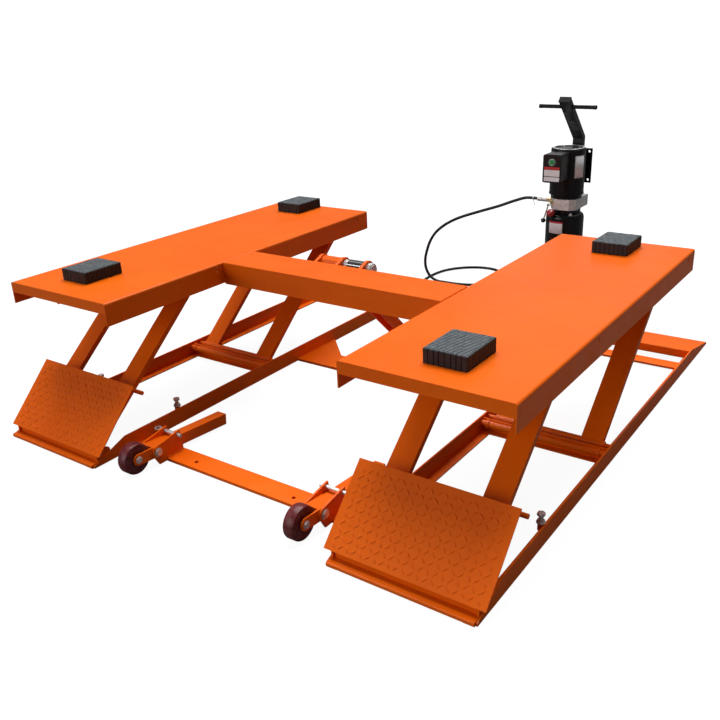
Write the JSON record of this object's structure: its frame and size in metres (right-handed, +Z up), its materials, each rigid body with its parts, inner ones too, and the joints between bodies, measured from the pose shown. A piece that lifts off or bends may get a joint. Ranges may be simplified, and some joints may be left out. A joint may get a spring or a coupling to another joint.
{
  "type": "portable scissor car lift",
  "caption": "Low-rise vehicle lift: two platforms raised on parallel leg frames by a cylinder, with approach flaps, rubber pads, transport wheels and a hose-fed power unit.",
  "frame": {"origin": "on the floor, at the middle of the underside of the plate that ties the two bases together behind the crossbeam", "axes": "+Z up; +Y from the approach flaps towards the power unit, along the platforms; +X to the right when looking along +Y"},
  "size_m": [1.835, 2.6038, 0.9316],
  "materials": {
    "orange_paint": "glossy powder coat",
    "steel": "zinc plated",
    "chrome": "polished",
    "black_paint": "satin",
    "rubber": "matte",
    "tyre": "matte",
    "maroon_roller": "satin polyurethane",
    "aluminium": "machined",
    "brass": "machined",
    "red_plastic": "moulded",
    "green_plastic": "moulded"
  },
  "bodies": {
    "base": {"rail_outer_left": "orange_paint", "rail_outer_right": "orange_paint", "rail_inner_left": "orange_paint", "rail_inner_right": "orange_paint", "toe_left": "orange_paint", "toe_right": "orange_paint", "rear_ramp_left": "orange_paint", "rear_ramp_right": "orange_paint", "cross_member_left": "orange_paint", "cross_member_right": "orange_paint", "wheel_bracket_left": "orange_paint", "wheel_bracket_right": "orange_paint", "lower_shaft_front_left": "steel", "lower_shaft_front_right": "steel", "lower_shaft_rear_left": "steel", "lower_shaft_rear_right": "steel", "front_tie_plate": "orange_paint", "rear_tie_plate": "orange_paint", "spine": "orange_paint", "hose_bulkhead": "steel", "pump_frame": "black_paint", "oil_tank": "black_paint", "valve_block": "aluminium", "pump_motor": "black_paint", "control_box": "black_paint", "filler_cap": "red_plastic", "hose_fitting": "brass", "hydraulic_hose": "rubber"},
    "legs_front_left": {"legs_front_left": "orange_paint"},
    "legs_front_right": {"legs_front_right": "orange_paint"},
    "legs_rear_left": {"legs_rear_left": "orange_paint"},
    "legs_rear_right": {"legs_rear_right": "orange_paint"},
    "deck": {"platform_left": "orange_paint", "platform_right": "orange_paint", "upper_shaft_front_left": "steel", "upper_shaft_front_right": "steel", "upper_shaft_rear_left": "steel", "upper_shaft_rear_right": "steel", "lifting_pad_front_left": "rubber", "lifting_pad_front_right": "rubber", "lifting_pad_rear_left": "rubber", "lifting_pad_rear_right": "rubber", "crossbeam": "orange_paint", "beam_shaft": "steel"},
    "safety_strut": {"safety_strut": "orange_paint"},
    "cylinder_rod": {"cylinder_rod": "chrome"},
    "cylinder_barrel": {"cylinder_barrel": "black_paint"},
    "flap_left": {"flap_left": "orange_paint"},
    "flap_right": {"flap_right": "orange_paint"},
    "wheel_arm_left": {"wheel_arm_left": "orange_paint"},
    "wheel_arm_right": {"wheel_arm_right": "orange_paint"},
    "wheel_left": {"wheel_left": "maroon_roller"},
    "wheel_right": {"wheel_right": "maroon_roller"},
    "lock_pin_left": {"lock_pin_left": "steel"},
    "lock_pin_right": {"lock_pin_right": "steel"},
    "start_button": {"start_button": "green_plastic"},
    "lowering_lever": {"lowering_lever": "steel"},
    "trolley_wheel_left": {"trolley_wheel_left": "tyre"},
    "trolley_wheel_right": {"trolley_wheel_right": "tyre"}
  },
  "joints": [
    {"name": "lift", "type": "hinge", "parent": "base", "child": "legs_front_left", "pos_m": [-0.6775, -1.016, 0.038], "axis": [1, 0, 0], "range_deg": [-37.27, 0]},
    {"name": "lift_front_right", "type": "hinge", "parent": "base", "child": "legs_front_right", "pos_m": [0.6775, -1.016, 0.038], "axis": [1, 0, 0], "range_deg": [-37.27, 0]},
    {"name": "lift_rear_left", "type": "hinge", "parent": "base", "child": "legs_rear_left", "pos_m": [-0.6775, -0.181, 0.038], "axis": [1, 0, 0], "range_deg": [-37.27, 0]},
    {"name": "lift_rear_right", "type": "hinge", "parent": "base", "child": "legs_rear_right", "pos_m": [0.6775, -0.181, 0.038], "axis": [1, 0, 0], "range_deg": [-37.27, 0]},
    {"name": "deck_level", "type": "hinge", "parent": "legs_front_left", "child": "deck", "pos_m": [-0.6775, -0.47274, 0.49823], "axis": [1, 0, 0], "range_deg": [0, 37.27]},
    {"name": "strut_swing", "type": "hinge", "parent": "deck", "child": "safety_strut", "pos_m": [-0.106, -0.243, 0.505], "axis": [1, 0, 0], "range_deg": [0, 41.34]},
    {"name": "cylinder_swing", "type": "hinge", "parent": "deck", "child": "cylinder_rod", "pos_m": [-0.00335, -0.243, 0.505], "axis": [1, 0, 0], "range_deg": [0, 30.07]},
    {"name": "cylinder_stroke", "type": "slide", "parent": "cylinder_rod", "child": "cylinder_barrel", "axis": [0, 0.8264, -0.5631], "range_m": [-0.3082, 0]},
    {"name": "flap_left", "type": "hinge", "parent": "base", "child": "flap_left", "pos_m": [-0.6775, -1.0506, 0.0357], "axis": [1, 0, 0], "range_deg": [-32.1, 0]},
    {"name": "arm_left", "type": "hinge", "parent": "base", "child": "wheel_arm_left", "pos_m": [-0.331, -0.948, 0.045], "axis": [1, 0, 0], "range_deg": [0, 3.2]},
    {"name": "wheel_spin_left", "type": "hinge", "parent": "wheel_arm_left", "child": "wheel_left", "pos_m": [-0.331, -1.01982, 0.05015], "axis": [1, 0, 0], "continuous": true},
    {"name": "lock_pin_left", "type": "slide", "parent": "base", "child": "lock_pin_left", "axis": [-1, 0, 0], "range_m": [0, 0.075]},
    {"name": "trolley_spin_left", "type": "hinge", "parent": "base", "child": "trolley_wheel_left", "pos_m": [0.004, 1.444, 0.0771], "axis": [1, 0, 0], "continuous": true},
    {"name": "flap_right", "type": "hinge", "parent": "base", "child": "flap_right", "pos_m": [0.6775, -1.0506, 0.0357], "axis": [1, 0, 0], "range_deg": [-32.1, 0]},
    {"name": "arm_right", "type": "hinge", "parent": "base", "child": "wheel_arm_right", "pos_m": [0.331, -0.948, 0.045], "axis": [1, 0, 0], "range_deg": [0, 3.2]},
    {"name": "wheel_spin_right", "type": "hinge", "parent": "wheel_arm_right", "child": "wheel_right", "pos_m": [0.331, -1.01982, 0.05015], "axis": [1, 0, 0], "continuous": true},
    {"name": "lock_pin_right", "type": "slide", "parent": "base", "child": "lock_pin_right", "axis": [1, 0, 0], "range_m": [0, 0.075]},
    {"name": "trolley_spin_right", "type": "hinge", "parent": "base", "child": "trolley_wheel_right", "pos_m": [0.272, 1.444, 0.0771], "axis": [1, 0, 0], "continuous": true},
    {"name": "button_press", "type": "slide", "parent": "base", "child": "start_button", "axis": [0, 1, 0], "range_m": [0, 0.004], "stiffness_N_per_m": 400},
    {"name": "lower_valve", "type": "hinge", "parent": "base", "child": "lowering_lever", "pos_m": [0.072, 1.182, 0.447], "axis": [1, 0, 0], "range_deg": [-25, 0], "stiffness_Nm_per_rad": 1.2, "springref_deg": 5.73}
  ],
  "couplings": [
    {"joint": "lift_front_right", "follows": "lift", "ratio": 1},
    {"joint": "lift_rear_left", "follows": "lift", "ratio": 1},
    {"joint": "lift_rear_right", "follows": "lift", "ratio": 1},
    {"joint": "deck_level", "follows": "lift", "ratio": -1},
    {"joint": "flap_left", "follows": "lift", "ratio": 0.8612},
    {"joint": "flap_right", "follows": "lift", "ratio": 0.8612},
    {"joint": "strut_swing", "follows": "lift", "ratio": -1.1092},
    {"joint": "cylinder_swing", "follows": "lift", "ratio": -0.8068},
    {"joint": "cylinder_stroke", "follows": "lift", "m_per_rad": 0.4737}
  ]
}
